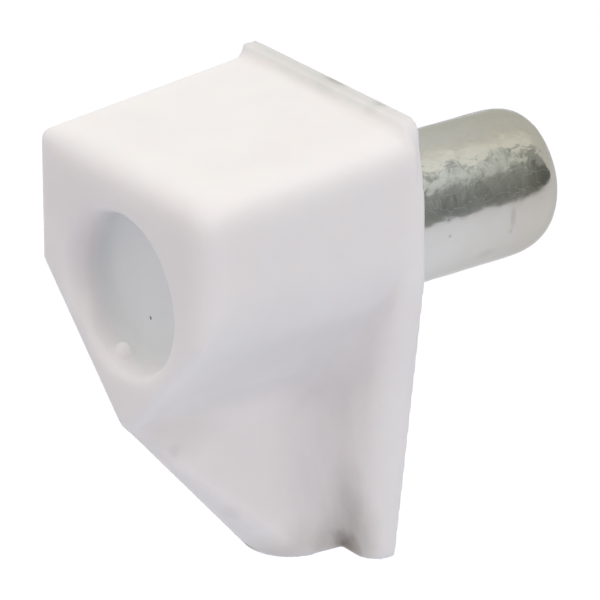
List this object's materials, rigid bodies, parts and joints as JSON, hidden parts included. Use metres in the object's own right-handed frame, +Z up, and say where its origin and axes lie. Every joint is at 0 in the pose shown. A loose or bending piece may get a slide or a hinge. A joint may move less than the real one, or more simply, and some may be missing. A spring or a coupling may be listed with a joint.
{
  "type": "shelf support pin",
  "caption": "Plug-in shelf support: a white moulded block with a back plate, rib and raised lip, on a plain steel pin that pushes into a cabinet side.",
  "frame": {"origin": "on the pin's axis, in the plane where the back plate meets the wall", "axes": "+Z up, +Y along the pin into the wall, +X across the support"},
  "size_m": [0.0096, 0.0166, 0.0161],
  "materials": {
    "white_plastic": "soft satin moulding",
    "zinc_steel": "bright zinc plate, lightly stained"
  },
  "bodies": {
    "root": {"support_body": "white_plastic", "steel_pin": "zinc_steel"}
  },
  "joints": []
}
